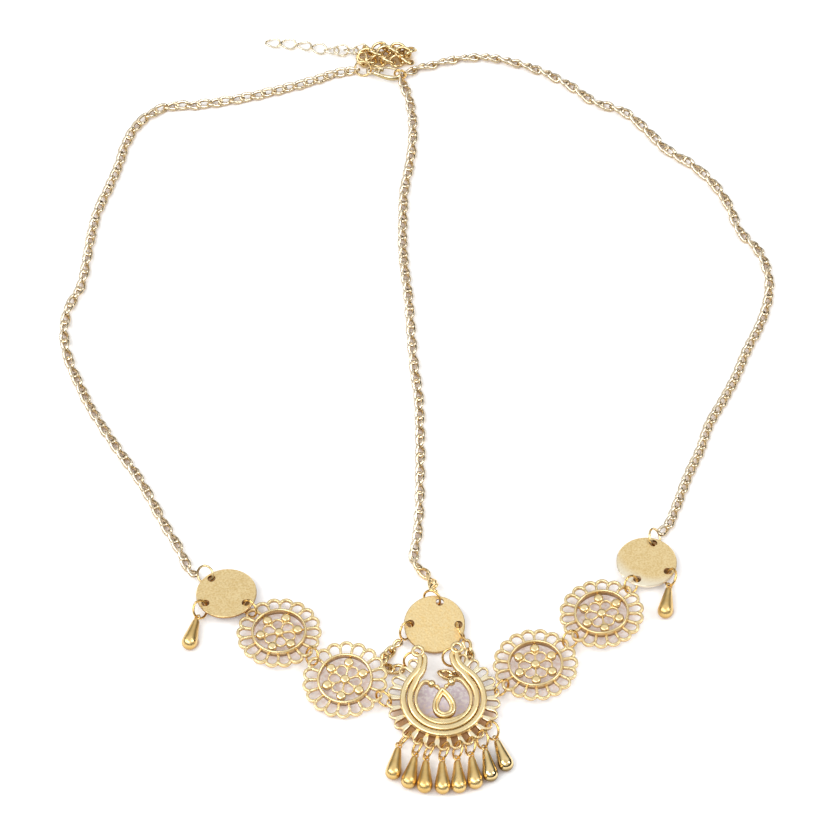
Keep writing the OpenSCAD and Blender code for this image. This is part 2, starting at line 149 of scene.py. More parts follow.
# %% Routes, outlines and sweeps
def smooth(points, steps=12):
    """Catmull-Rom line. With a and d before and after the span from b to c, its point at t is half of
    2b + (c - a) t + (2a - 5b + 4c - d) t^2 + (3b - a - 3c + d) t^3."""
    p = np.asarray(points, float)
    p = np.concatenate([2 * p[:1] - p[1:2], p, 2 * p[-1:] - p[-2:-1]])
    a, b, c, d = p[:-3, None], p[1:-2, None], p[2:-1, None], p[3:, None]
    t = np.linspace(0, 1, steps, endpoint=False)[None, :, None]
    line = 0.5 * (2 * b + (c - a) * t + (2 * a - 5 * b + 4 * c - d) * t**2 + (3 * b - a - 3 * c + d) * t**3)
    return np.concatenate([line.reshape(-1, p.shape[1]), p[-2:-1]])


def even(line, distances):
    """Points at given distances along a line, by straight interpolation of its length."""
    run = np.concatenate([[0.0], np.cumsum(np.linalg.norm(np.diff(line, axis=0), axis=1))])
    return np.stack([np.interp(distances, run, line[:, k]) for k in range(line.shape[1])], -1)


def length(line):
    """Sum of the lengths of a line's steps."""
    return np.linalg.norm(np.diff(line, axis=0), axis=1).sum()


def oval(width, low, high, sides=10, square=0.75):
    """Outline in (across, height): a circle's cosine and sine raised to a power under 1, which squares it."""
    angle = 2 * np.pi * (np.arange(sides) + 0.5) / sides
    across, height = np.cos(angle), np.sin(angle)
    across = np.sign(across) * np.abs(across) ** square * width / 2
    height = np.sign(height) * np.abs(height) ** square * (high - low) / 2 + (high + low) / 2
    return np.stack([across, height], -1)


# Where an open end closes in a dome: places of its rings, as shares of its reach, and their sizes.
DOME_REACH = 0.8
DOME_PLACES = np.array([0.5, 0.85, 1.0])
DOME_SIZES = np.array([0.86, 0.5, 0.0])


def sweep(line, outline, closed=False, taper=None):
    """Point (s, a) is line(s) + across(a) side(s) + height(a) rise(s). Open ends close in a dome."""
    ahead = unit(np.roll(line, -1, 0) - np.roll(line, 1, 0) if closed else np.gradient(line, axis=0))
    side, rise = side_and_rise(ahead)
    size = np.ones(len(line)) if taper is None else np.asarray(taper, float)
    middle = 0.0
    if not closed:
        reach = np.abs(outline[:, 0]).max()
        middle = outline[:, 1].mean()
        fore = DOME_PLACES[:, None] * reach * size[-1] * DOME_REACH
        back = DOME_PLACES[::-1, None] * reach * size[0] * DOME_REACH
        line = np.concatenate([line[0] - back * ahead[0], line, line[-1] + fore * ahead[-1]])
        side = np.concatenate([side[[0, 0, 0]], side, side[[-1, -1, -1]]])
        rise = np.concatenate([rise[[0, 0, 0]], rise, rise[[-1, -1, -1]]])
        size = np.concatenate([DOME_SIZES[::-1] * size[0], size, DOME_SIZES * size[-1]])
    across = outline[None, :, :1] * size[:, None, None] * side[:, None]
    height = (middle + (outline[None, :, 1:] - middle) * size[:, None, None]) * rise[:, None]
    points = (line[:, None] + across + height).reshape(-1, 3)
    return outward((points, quads(len(line), len(outline), close_rows=closed)))


def circle(count):
    """Points (cos a, sin a) at equal steps all the way round."""
    angle = 2 * np.pi * np.arange(count) / count
    return np.stack([np.cos(angle), np.sin(angle)], -1)


def arc(radius, start, stop, count, middle=(0.0, 0.0)):
    """Points middle + r (cos a, sin a), a from `start` to `stop` degrees; r is one number or a list."""
    angle = np.radians(np.linspace(start, stop, count))
    return np.reshape(radius, (-1, 1)) * np.stack([np.cos(angle), np.sin(angle)], -1) + np.array(middle)


def revolve(profile, sides=32):
    """Profile (radius, height) turned about z: point (s, a) is (r cos a, r sin a, h)."""
    around = profile[:, None, :1] * circle(sides)
    height = np.repeat(profile[:, None, 1:], sides, 1)
    return outward((np.concatenate([around, height], -1).reshape(-1, 3), quads(len(profile), sides)))


def flat(points):
    """Points (x, y) laid in a plate's plane."""
    p = np.asarray(points, float)
    return np.concatenate([p, np.zeros((len(p), 1))], -1)


print("oval outline", oval(1, 0, 1).shape, "smoothed corner", smooth([[0, 0], [1, 0], [0, 1]]).shape)

# %% [markdown]
# ## Places of the flat pieces
#
# Coins, rosettes and pendant each lie with a slight lean on what is under them. Their places are
# the same numbers as in the CAD source, in millimetres: middle, lean about x, lean about y and
# spin in their own plane. The source moves the whole so that its middle is the origin, and
# `MIDDLE` is that move.

# %% Places
MIDDLE = np.array([0.45, 1.88, 0.0])
plates = {
    "rosette_left_outer": ([-33.7, -74.5, 2.1], -2, -1, -40.4),
    "rosette_left_inner": ([-17.4, -88.5, 2.3], 7, -4, -32.3),
    "rosette_right_inner": ([29.0, -84.1, 2.3], 0, -2, 41.5),
    "rosette_right_outer": ([45.5, -68.9, 2.3], -2, -4, 48.1),
    "pendant": ([6.5, -95.0, 2.9], 4.5, 0, 5.9),
}


def lay(shell, node):
    """Spin in the plate's own plane, lean about x, lean about y, then move to its place."""
    place, lean_x, lean_y, spin = plates[node]
    matrix = turn(1, lean_y)[0] @ turn(0, lean_x)[0] @ turn(2, spin)[0]
    return (shell[0] @ matrix.T + np.array(place) - MIDDLE, shell[1])


print("plates", list(plates))

# %% [markdown]
# ## Finishes
#
# Everything is brass under a thin gold plate, and the finishes differ only in how the metal was
# worked: the coins are blasted, the castings are satin, the drops are brushed and buffed, wire
# and links are drawn bright. Two node groups are shared. `tone` gives patches and specks of
# colour, as a plated surface has. `grain` gives fine relief, which a Bump node turns into a finish.
# Small helpers add the nodes that come back often: a noise, a span mapped onto another, a
# distance, one coordinate, a colour ramp.

# %% Shared node groups


def new_group(name, inputs, outputs):
    """An empty shader group with float inputs {name: value} and outputs {name: type}."""
    group = bpy.data.node_groups.new(name, "ShaderNodeTree")
    for title, value in inputs.items():
        socket = group.interface.new_socket(title, in_out="INPUT", socket_type="NodeSocketFloat")
        socket.default_value = value
    for title, kind in outputs.items():
        group.interface.new_socket(title, in_out="OUTPUT", socket_type=kind)
    return group, group.nodes.new("NodeGroupInput"), group.nodes.new("NodeGroupOutput")


def noise(tree, scale, detail, vector):
    """A noise node fed by a position and, where given as a socket, a scale."""
    node = tree.nodes.new("ShaderNodeTexNoise")
    node.inputs["Detail"].default_value = detail
    if isinstance(scale, bpy.types.NodeSocket):
        tree.links.new(scale, node.inputs["Scale"])
    else:
        node.inputs["Scale"].default_value = scale
    tree.links.new(vector, node.inputs["Vector"])
    return node.outputs["Fac"]


def span(tree, value, start, end, low=0.0, high=1.0, soft=False):
    """A socket's value, mapped from start..end onto low..high, straight or as a soft step."""
    node = tree.nodes.new("ShaderNodeMapRange")
    node.interpolation_type = "SMOOTHSTEP" if soft else "LINEAR"
    for title, number in zip(("From Min", "From Max", "To Min", "To Max"), (start, end, low, high)):
        node.inputs[title].default_value = number
    tree.links.new(value, node.inputs["Value"])
    return node.outputs["Result"]


def distance(tree, spot, place):
    """How far a position socket is, in metres, from a place in millimetres."""
    node = tree.nodes.new("ShaderNodeVectorMath")
    node.operation = "DISTANCE"
    node.inputs[1].default_value = tuple(np.array(place) * MM)
    tree.links.new(spot, node.inputs[0])
    return node.outputs["Value"]


def part(tree, vector, axis):
    """One coordinate of a vector socket."""
    node = tree.nodes.new("ShaderNodeSeparateXYZ")
    tree.links.new(vector, node.inputs["Vector"])
    return node.outputs[axis]


def ramp(tree, value, stops):
    """A colour ramp through stops (place, colour)."""
    node = tree.nodes.new("ShaderNodeValToRGB")
    while len(node.color_ramp.elements) < len(stops):
        node.color_ramp.elements.new(0.5)
    for element, (place, colour) in zip(node.color_ramp.elements, stops):
        element.position = place
        element.color = (*colour, 1.0)
    tree.links.new(value, node.inputs["Fac"])
    return node.outputs["Color"]


def two_noises(tree, vector, share, first, second):
    """A mix of two noises, each given as (scale, detail)."""
    mix = tree.nodes.new("ShaderNodeMix")
    if isinstance(share, bpy.types.NodeSocket):
        tree.links.new(share, mix.inputs["Factor"])
    else:
        mix.inputs["Factor"].default_value = share
    tree.links.new(noise(tree, *first, vector), mix.inputs["A"])
    tree.links.new(noise(tree, *second, vector), mix.inputs["B"])
    return mix.outputs["Result"]


tone_group, given, out = new_group(
    "tone", {"Patch Scale": 160.0, "Speck Scale": 900.0, "Speck Share": 0.4}, {"Mask": "NodeSocketFloat"}
)
position = tone_group.nodes.new("ShaderNodeTexCoord").outputs["Object"]
patches, specks = (given.outputs["Patch Scale"], 3.0), (given.outputs["Speck Scale"], 2.0)
cloudy = two_noises(tone_group, position, given.outputs["Speck Share"], patches, specks)
tone_group.links.new(span(tone_group, cloudy, 0.36, 0.64), out.inputs["Mask"])

grain_group, given, out = new_group(
    "grain", {"Scale": 2500.0, "Coarse Scale": 700.0}, {"Height": "NodeSocketFloat"}
)
position = grain_group.nodes.new("ShaderNodeTexCoord").outputs["Object"]
fine, coarse = (given.outputs["Scale"], 2.0), (given.outputs["Coarse Scale"], 2.0)
grain_group.links.new(two_noises(grain_group, position, 0.35, fine, coarse), out.inputs["Height"])
print("groups", tone_group.name, grain_group.name)

# %% [markdown]
# ## Metals
#
# One function makes all the golds. The Principled shader stays in the material, with Metallic on
# its own socket. The colour runs between two tints by the `tone` mask, and roughness between two
# values. Where a piece has an attribute for its hollows, they take a deeper, browner gold: painted
# shade. Where it has an attribute for rubbed parts, they are painted paler: worn polish and a
# painted highlight. Steep flanks can take a darker tint too, `side`: painted shade and a painted
# reflection of the dark room, which so small a wire shows.

# %% Gold finishes


def mixed(tree, factor, colour, other):
    """A colour socket that goes from `colour` to the fixed colour `other` as the factor goes from 0 to 1."""
    mix = tree.nodes.new("ShaderNodeMix")
    mix.data_type = "RGBA"
    mix.inputs["B"].default_value = (*other, 1.0)
    tree.links.new(factor, mix.inputs["Factor"])
    tree.links.new(colour, mix.inputs["A"])
    return mix.outputs["Result"]


def placed(tree, group, values):
    """A node group placed in a tree with its own values; gives its first output."""
    node = tree.nodes.new("ShaderNodeGroup")
    node.node_tree = group
    for title, value in values.items():
        node.inputs[title].default_value = value
    return node.outputs[0]


COARSER = 3.5  # how much larger the coarse grain is than the fine one
SPECKS_PER_PATCH = 5.0
BRUSH_STRETCH = (34.0, 1.6, 1.0)  # brush lines are short round a drop and long along it


def gold(
    name, light, dark, rough, grain_scale, relief, painted_shade_tint=None, wear_and_highlight_tint=None, side=None,
    steep=(0.55, 0.25), brushed=False, patch=160.0, deep=0.00008, specks=0.4,
):
    """Principled metal: colour light to dark and roughness by the tone mask, grain as bump, and painted shade
    or highlight by attribute and slope.
    """
    material = bpy.data.materials.new(name)
    material.use_nodes = True
    tree = material.node_tree
    shader = tree.nodes["Principled BSDF"]
    shader.inputs["Metallic"].default_value = 1.0
    values = {"Patch Scale": patch, "Speck Scale": patch * SPECKS_PER_PATCH, "Speck Share": specks}
    tone = placed(tree, tone_group, values)
    tint = tree.nodes.new("ShaderNodeMix")
    tint.data_type = "RGBA"
    tint.inputs["A"].default_value = (*light, 1.0)
    tint.inputs["B"].default_value = (*dark, 1.0)
    tree.links.new(tone, tint.inputs["Factor"])
    colour = tint.outputs["Result"]
    # Painted shade in the hollows; on rubbed parts, worn polish with a painted highlight.
    for attribute, other in (("wear_and_highlight", wear_and_highlight_tint), ("painted_shade", painted_shade_tint)):
        if other:
            mask = tree.nodes.new("ShaderNodeAttribute")
            mask.attribute_name = attribute
            colour = mixed(tree, mask.outputs["Fac"], colour, other)
    # Painted shade and a painted reflection of the dark room on steep flanks.
    if side:
        up = part(tree, tree.nodes.new("ShaderNodeNewGeometry").outputs["Normal"], "Z")
        colour = mixed(tree, span(tree, up, *steep), colour, side)
    tree.links.new(colour, shader.inputs["Base Color"])
    tree.links.new(span(tree, tone, 0.0, 1.0, *rough), shader.inputs["Roughness"])
    if brushed:
        stretch = tree.nodes.new("ShaderNodeMapping")
        stretch.inputs["Scale"].default_value = BRUSH_STRETCH
        tree.links.new(tree.nodes.new("ShaderNodeTexCoord").outputs["UV"], stretch.inputs["Vector"])
        height = noise(tree, 4.0, 3.0, stretch.outputs["Vector"])
    else:
        height = placed(tree, grain_group, {"Scale": grain_scale, "Coarse Scale": grain_scale / COARSER})
    bump = tree.nodes.new("ShaderNodeBump")
    bump.inputs["Strength"].default_value = relief
    bump.inputs["Distance"].default_value = deep
    tree.links.new(height, bump.inputs["Height"])
    tree.links.new(bump.outputs["Normal"], shader.inputs["Normal"])
    return material


# Painted shade and a painted reflection of the dark room on the coins' steep rims; the side colours of the
# other finishes below are painted the same way.
COIN_FLANK_SHADE = (0.40, 0.20, 0.06)
coin_gold, dished_highlight_gold = (
    gold(
        name, (0.965, 0.775, 0.43), (0.82, 0.60, 0.27), rough, 1900.0, 1.0,
        side=COIN_FLANK_SHADE, patch=430.0, deep=0.00014, specks=0.82,
    )
    for name, rough in (("coin_gold", (0.32, 0.44)), ("dished_highlight_gold", (0.30, 0.42)))
)
cast_gold = gold(
    "cast_gold", (0.97, 0.80, 0.47), (0.90, 0.70, 0.36), (0.22, 0.34), 1800.0, 0.35,
    painted_shade_tint=(0.46, 0.25, 0.08), wear_and_highlight_tint=(1.0, 0.89, 0.63),
)
drop_gold = gold(
    "drop_gold", (0.94, 0.70, 0.32), (0.85, 0.57, 0.20), (0.26, 0.36), 1800.0, 0.25,
    side=(0.52, 0.32, 0.09), steep=(0.52, -0.1), brushed=True,
)
bright_drop_gold = gold(
    "bright_drop_gold", (0.92, 0.73, 0.40), (0.84, 0.62, 0.28), (0.05, 0.10), 1800.0, 0.06,
    side=(0.20, 0.13, 0.04), steep=(0.48, 0.0), brushed=True,
)
ring_gold = gold("ring_gold", (0.86, 0.68, 0.38), (0.74, 0.54, 0.26), (0.16, 0.26), 1500.0, 0.12)
warm_ring_gold = gold("warm_ring_gold", (0.90, 0.64, 0.27), (0.76, 0.49, 0.17), (0.20, 0.30), 1500.0, 0.12)
link_gold = gold(
    "link_gold", (0.97, 0.87, 0.70), (0.90, 0.76, 0.55), (0.12, 0.22), 1500.0, 0.12,
    painted_shade_tint=(0.42, 0.27, 0.10), side=(0.60, 0.47, 0.28), steep=(0.84, 0.38),
)
pale_link_gold = gold(
    "pale_link_gold", (0.97, 0.91, 0.75), (0.91, 0.81, 0.60), (0.12, 0.22), 1500.0, 0.12,
    painted_shade_tint=(0.66, 0.52, 0.30), side=(0.74, 0.62, 0.42), steep=(0.75, 0.30),
)
pile_gold = gold(
    "pile_gold", (0.97, 0.83, 0.53), (0.87, 0.68, 0.35), (0.14, 0.24), 1500.0, 0.12,
    painted_shade_tint=(0.52, 0.31, 0.10), side=(0.66, 0.46, 0.19), steep=(0.80, 0.35),
)
clasp_gold = gold(
    "clasp_gold", (0.95, 0.83, 0.58), (0.86, 0.70, 0.44), (0.08, 0.16), 1500.0, 0.10,
    side=(0.50, 0.38, 0.18), steep=(0.8, 0.35),
)


def by_distance(material, place, start, end, colour, share):
    """Blend a finish to another colour from `start` to `end` millimetres away from a place."""
    tree = material.node_tree
    away = distance(tree, tree.nodes.new("ShaderNodeTexCoord").outputs["Object"], np.array(place) - MIDDLE)
    mask = span(tree, away, start * MM, end * MM, 0.0, share, soft=True)
    base = tree.nodes["Principled BSDF"].inputs["Base Color"]
    tree.links.new(mixed(tree, mask, base.links[0].from_socket, colour), base)


# The right coin is dished, and a painted highlight makes its near left edge paler than the far
# right of its face. The middle chain is a warmer gold close to its coin.
by_distance(dished_highlight_gold, (59.4, -48.6, 2.3), 8.6, 12.2, (1.0, 0.93, 0.76), 0.85)
by_distance(link_gold, (4.1, -64.5, 3.0), 16.0, 5.0, (0.93, 0.70, 0.34), 0.9)
print("finishes", [m.name for m in bpy.data.materials if m.name.endswith("gold")])

# %% [markdown]
# ## From numbers to pieces
#
# A piece is one mesh, in metres, with its object left at the origin. Points that fall together at
# the poles are merged. Each piece rides on the body that carries it, replaces the CAD nodes it
# stands for, and takes its finish.

# %% Pieces


def piece(name, shell, finish, nodes, body="chain_set", painted_shade=None, wear_and_highlight=None, uv=None):
    """A mesh object from a shell in millimetres, smooth shaded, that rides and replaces."""
    points, faces = shell
    mesh = bpy.data.meshes.new(name)
    mesh.from_pydata((points * MM).tolist(), [], faces.tolist())
    if painted_shade is not None:
        mesh.attributes.new("painted_shade", "FLOAT", "POINT").data.foreach_set("value", painted_shade.astype(np.float32))
    if wear_and_highlight is not None:
        mesh.attributes.new("wear_and_highlight", "FLOAT", "POINT").data.foreach_set("value", wear_and_highlight.astype(np.float32))
    if uv is not None:
        mesh.uv_layers.new(name="along").data.foreach_set("uv", uv[faces].astype(np.float32).ravel())
    work = bmesh.new()
    work.from_mesh(mesh)
    bmesh.ops.remove_doubles(work, verts=work.verts, dist=1e-7)
    bmesh.ops.dissolve_degenerate(work, edges=work.edges, dist=1e-8)
    work.to_mesh(mesh)
    work.free()
    mesh.shade_smooth()
    mesh.materials.append(finish)
    thing = bpy.data.objects.new(name, mesh)
    bpy.context.scene.collection.objects.link(thing)
    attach(thing, body)
    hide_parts(*nodes)
    print(name, "faces", len(mesh.polygons), "box mm", np.round(np.ptp(points, axis=0), 1))
    return thing


# %% [markdown]
# ## Curb chain
#
# A curb chain is a row of oval links, each given a twist so that the chain lies flat. The middle
# line of a link is an oval with a height that goes up and down twice round it: where two links
# cross, one is up and the other down, and they are threaded without touching. All links are
# copies of one, so a link has few faces and smooth shading does the rest. A chain that lies loose
# also rolls a little about its own line, slowly along its length and slightly from link to link.
# The two short chains lie bunched, so their links stand closer.

# %% One link and a run of links


def link(half_length, half_width, twist, wire, around=16, sides=7):
    """Middle line (a cos u, b sin u, c sin 2u), with a round section of the wire's radius."""
    u = 2 * np.pi * np.arange(around) / around
    line = np.stack([half_length * np.cos(u), half_width * np.sin(u), twist * np.sin(2 * u)], -1)
    return sweep(line, wire * circle(sides), closed=True)


def inner_shade(shell, half_length, half_width):
    """How much painted shade each point takes: the inner side of the two bends, and what faces down."""
    x, y, z = shell[0].T
    out = np.hypot(x / half_length, y / half_width)
    bends = np.clip((1.12 - out) / 0.2, 0, 1) * np.clip(np.abs(x) / half_length - 0.45, 0, 1) * 2.0
    return np.clip(bends + 0.8 * np.clip(-z / 0.5 - 0.35, 0, 1), 0, 1)


FLOOR_GAP = 0.02  # the least height of a link above the floor, in millimetres
CHANCE_ROLL = 4.0  # how much a link's roll differs by chance, in degrees


def above_floor(points, count):
    """Points of `count` equal shells, each lifted where it would dip below the floor."""
    each = points.reshape(count, -1, 3)
    each[:, :, 2] += np.clip(FLOOR_GAP - each[:, :, 2].min(1), 0, None)[:, None]
    return each.reshape(-1, 3)


def links_along(line, pitch, one, lean, alternate, seed):
    """A link at each pitch of a line: x along it, y level, then rolled about x.

    `lean` and `alternate` are angles at equal steps of the route. The roll of a link is its lean,
    plus the alternate angle for even links and minus it for odd ones, plus a little chance."""
    chance = np.random.default_rng(seed)
    count = int(round(length(line) / pitch))
    step = length(line) / count
    k = np.arange(count)
    ahead = unit(even(line, (k + 0.95) * step) - even(line, (k + 0.05) * step))
    frames = np.stack([ahead, *side_and_rise(ahead)], -1)
    way = k / (count - 1)
    base = np.interp(way, np.linspace(0, 1, len(lean)), lean)
    other = np.interp(way, np.linspace(0, 1, len(alternate)), alternate)
    angles = base + other * np.where(k % 2 == 0, 1, -1) + chance.normal(0, CHANCE_ROLL, count)
    points, faces = copies(one, frames @ turn(0, angles), even(line, (k + 0.5) * step))
    print("  links", count, "step %.2f mm" % step)
    return (above_floor(points, count), faces), count


CURB = (1.84, 0.93)  # half length and half width of a link's middle line
CURB_PITCH = 2.95
BUNCHED_PITCH = 2.2
curb = link(*CURB, twist=0.44, wire=0.45)
curb_shade = inner_shade(curb, *CURB)
print("faces of a link", len(curb[1]))

# %% Routes of the chains
LINK_Z = 0.74  # height of a route's points that give none
routes = {
    "chain_left": [
        [-54.7, -56.2, 1], [-56.4, -54.6], [-59.2, -47.9], [-63.1, -40.4], [-66.6, -32.8], [-70.4, -25.4],
        [-74.8, -18.3], [-79, -11.1], [-83, -3.7], [-86.3, 4], [-89.2, 11.8], [-90.7, 20],
        [-90.1, 28.1], [-87.1, 35.9], [-86, 44.2], [-85.2, 52.5], [-83.9, 60.8], [-81.4, 68.7],
        [-79, 76.7], [-77.2, 84.9], [-73.7, 92.4], [-67.2, 97.5], [-58.9, 98.4], [-50.7, 99.8],
        [-42.6, 101.8], [-34.7, 104.3], [-26.8, 107.2], [-21.5, 109.5], [-15.9, 110.6, 0.9],
    ],
    "chain_right": [
        [60.7, -43.6, 1.1], [62.9, -41], [65.6, -33.7], [68.4, -25.5], [71.7, -17.5], [74.3, -9.3],
        [78.2, -1.5], [81.8, 6.3], [84.8, 14.4], [88.3, 22.3], [90.9, 30.6], [91.6, 39.1],
        [89.5, 47.5], [84.7, 54.6], [82.3, 62.9], [78.5, 70.6], [73, 77.3], [66.4, 82.7],
        [61.2, 89.6], [55.4, 95.9], [47.6, 99.5], [41.2, 105.3], [34.1, 110.2], [26.2, 113.6],
        [17.8, 115.5], [9.2, 114.4], [4.4, 112.7], [1.0, 111.7], [-1.2, 110.4], [-3.2, 109.4],
    ],
    "chain_middle": [
        [4.1, -63.9, 5.4], [4.2, -61.2, 3.2], [3.2, -57.2, 1.3], [-0.5, -52], [0.3, -43.6],
        [0.8, -35], [0.9, -26.4], [1, -17.8], [0.9, -9.1], [0.6, -0.5], [-0.4, 8], [-1.1, 16.6],
        [-1.6, 25.2], [-2.2, 33.8], [-3.1, 42.4], [-3.6, 51], [-3.5, 59.6], [-3.2, 68.3],
        [-1.9, 76.8], [-1, 85.4], [-1.1, 94], [-2.2, 101.5], [-3.7, 106.2], [-4.1, 108.1],
    ],
    "short_chain_left": [[-4.4, -76.9, 1], [-6.2, -79], [-7.8, -81.6], [-6.8, -84.2], [-3.7, -84.6, 1.3]],
    "short_chain_right": [
        [12.1, -77, 1.2], [12.9, -79.6], [12.5, -82.8], [10.6, -85.4], [7.6, -86.1], [6.2, -85.2],
    ],
}
rolls = {
    "chain_left": ([14, 8, 22, -14, 12, 26, 12, 40, 68], [30, 24, 12, 26, 30, 10, 22, 14, 8]),
    "chain_right": ([30, 34, 34, 26, 10, -18, 12, 24, 30], [12, 5, 6, 16, 28, 20, 26, 14, 18]),
    "chain_middle": ([30, 12, -16, 10, 24, 8, 20], [24, 30, 16, 28, 14, 26, 20]),
    "short_chain_left": ([18, 8], [22, 16]),
    "short_chain_right": ([24, 6], [20, 12]),
}
for seed, (node, route) in enumerate(routes.items()):
    points = np.array([[p[0], p[1], p[2] if len(p) > 2 else LINK_Z] for p in route], float) - MIDDLE
    pitch, finish = (BUNCHED_PITCH, pile_gold) if node.startswith("short") else (CURB_PITCH, link_gold)
    run, count = links_along(smooth(points), pitch, curb, *rolls[node], seed)
    piece(node + "_links", run, finish, [node], painted_shade=np.tile(curb_shade, count))

# %% [markdown]
# ## Extension chain
#
# The extension is a chain of wider links, so that the clasp can hook into any of them. Most of it
# lies in a small pile behind the clasp: its route goes to and fro there in three layers, and its
# links stand closer and lean strongly, now to one side and now to the other. The last links lie
# straight on the surface, in thinner wire.

# %% Extension links
OPEN = (1.98, 1.5)
open_link = link(*OPEN, twist=0.34, wire=0.27, around=20)
piled_link = link(*OPEN, twist=0.42, wire=0.42, around=20)
open_shade = inner_shade(open_link, *OPEN)
extension_route = [
    [-1.6, 113.0, 1.7], [-4.4, 114.1, 1.7], [-7.4, 112.9, 1.7], [-10.6, 114.0, 1.7],
    [-13.4, 112.8, 1.7], [-15.4, 114.3, 2.0], [-12.8, 115.5, 2.8], [-9.8, 114.8, 3.3],
    [-6.8, 116.1, 3.4], [-3.8, 115.0, 3.1], [-1.2, 115.9, 2.5], [-2.2, 117.7, 2.2],
    [-5.2, 117.1, 2.2], [-8.2, 118.4, 2.3], [-11.0, 117.0, 2.1], [-13.6, 117.9, 1.8],
    [-16.2, 117.3, 1.6], [-19.0, 117.8, 1.4], [-21.8, 117.6, 1.4], [-24.6, 118.0, 1.2],
    [-27.6, 119.0, 1.1], [-31.3, 119.9, 1.0], [-35.2, 120.5, 1.0], [-41.1, 120.8, 1.0],
]
piled_leans = np.resize([52, 40, 58, 46, 36, 54, 44], 17)
straight_leans = [34, 22, 26, 18, 12, 9, 7, 5]
lean = np.concatenate([piled_leans, straight_leans])
lean = lean * np.where(np.arange(len(lean)) % 2 == 0, 1, -1)
line = smooth(np.array(extension_route) - MIDDLE)
strides = np.array([2.3] * 21 + [3.65] * 4)
strides *= length(line) / strides.sum()
meetings = even(line, np.concatenate([[0.0], np.cumsum(strides)]))
for node, first, last in (("extension_start", 0, 8), ("extension_middle", 8, 17), ("extension_end", 17, 25)):
    starts, ends = meetings[first:last], meetings[first + 1 : last + 1]
    ahead = unit(ends - starts)
    frames = np.stack([ahead, *side_and_rise(ahead)], -1) @ turn(0, lean[first:last])
    one, finish = (open_link, pale_link_gold) if node == "extension_end" else (piled_link, pile_gold)
    points, faces = copies(one, frames, (starts + ends) / 2)
    run = (above_floor(points, last - first), faces)
    piece(node + "_links", run, finish, [node], painted_shade=np.tile(open_shade, last - first))
print("extension steps", np.round(strides[[0, -1]], 2), "mm")

# %% [markdown]
# ## Rosettes
#
# A rosette is cast as if it were bent from wire: eighteen petals round a raised collar, and inside
# it six leaf-shaped loops with round knobs between them. Each wire is its own sweep in the
# plate's plane, and the sweeps sink into each other as the cast metal does. The height of each
# point is kept as an attribute, so the finish can paint shade into the hollows.

# %% A rosette


def ring_copies(shell, angles):
    """Copies of a shell turned about z, one for each angle."""
    return copies(shell, turn(2, angles), np.zeros((len(angles), 3)))


def knob(radius, place, sides=14, rings=8):
    """Sphere: (r sin t cos a, r sin t sin a, r cos t) about its place."""
    t = np.linspace(0, np.pi, rings)
    points, faces = revolve(radius * np.stack([np.sin(t), np.cos(t)], -1), sides)
    return (points + np.array(place), faces)


HOLLOW_DEPTH = 0.6


def sunk(parts):
    """For parts (shell, top): how far each point lies below its top, from 0 to 1 at HOLLOW_DEPTH, which sets
    how much painted shade it takes.
    """
    return np.concatenate([np.clip((top - shell[0][:, 2]) / HOLLOW_DEPTH, 0, 1) for shell, top in parts])


# All in millimetres, from the middle of the rosette; a petal takes 20 degrees, a leaf 60.
petal_turns = 20.0 * np.arange(18)
leaf_turns = 60.0 * np.arange(6)
UNDER = -0.4
petal_out = 8.6
petal_radius = petal_out * np.tan(np.radians(10.0))
bow = arc(petal_radius, -90, 90, 13, (petal_out, 0.0))
petals = ring_copies(sweep(flat(bow), oval(0.76, UNDER, 0.62, 12, 0.55)), petal_turns)
wall = sweep(flat([[6.5, 0.0], [7.5, 0.0], [8.75, 0.0]]), oval(0.7, UNDER, 0.56, 12, 0.55))
walls = ring_copies(wall, 10.0 + petal_turns)
collar = revolve(np.array([
    [6.2, UNDER], [6.17, 0.8], [6.22, 1.14], [6.34, 1.28], [6.66, 1.28], [6.79, 1.14], [6.85, 0.8],
    [6.87, UNDER], [6.2, UNDER],
]), 72)
leaf = sweep(flat(arc(1.32, -100, 100, 15, (2.75, 0.0))), oval(0.44, UNDER, 0.42, 8))
leaves = ring_copies(leaf, 20.0 + leaf_turns)
spoke = sweep(flat([[0.6, 0.0], [3.0, 0.0], [6.3, 0.0]]), oval(0.5, UNDER, 0.4, 8))
spokes = ring_copies(spoke, -10.0 + leaf_turns)
button = revolve(np.array([
    [0.0, 1.02], [0.48, 1.0], [0.84, 0.93], [1.06, 0.8], [1.16, 0.6], [1.18, 0.3], [1.1, UNDER], [0.0, UNDER],
]), 20)
knobs = ring_copies((button[0] + np.array([4.6, 0.0, 0.0]), button[1]), -10.0 + leaf_turns)
rosette_parts = (
    (petals, 0.4), (walls, 0.34), (collar, 1.1), (leaves, 0.25), (spokes, 0.22), (knobs, 0.62),
    (button, 0.62),
)
rosette = join(*(shell for shell, top in rosette_parts))
# Painted shade: the lower a point lies, the browner its gold.
rosette_painted_shade = sunk(rosette_parts)
for node in plates:
    if node.startswith("rosette"):
        piece(node + "_cast", lay(rosette, node), cast_gold, [node], painted_shade=rosette_painted_shade)

# %% [markdown]
# ## Pendant
#
# The pendant's band is three ridges side by side. The two outer ones run on past the opening,
# turn outwards and come back in to the eyes, as the arms of a lyre do; the inner one curls into a
# scroll with a ball. One half is made and mirrored. The fluted border is a ring of cells, each
# with a slot whose edge is raised. A cell is worked out as a grid too: one direction goes round
# the slot, the other across the metal from the slot's edge to the cell's edge.

# %% The ridges, scrolls and eyes


def mirrored(line):
    """A line from the bottom up one side, with the same line mirrored before it."""
    return np.concatenate([(line * [-1, 1])[:0:-1], line])


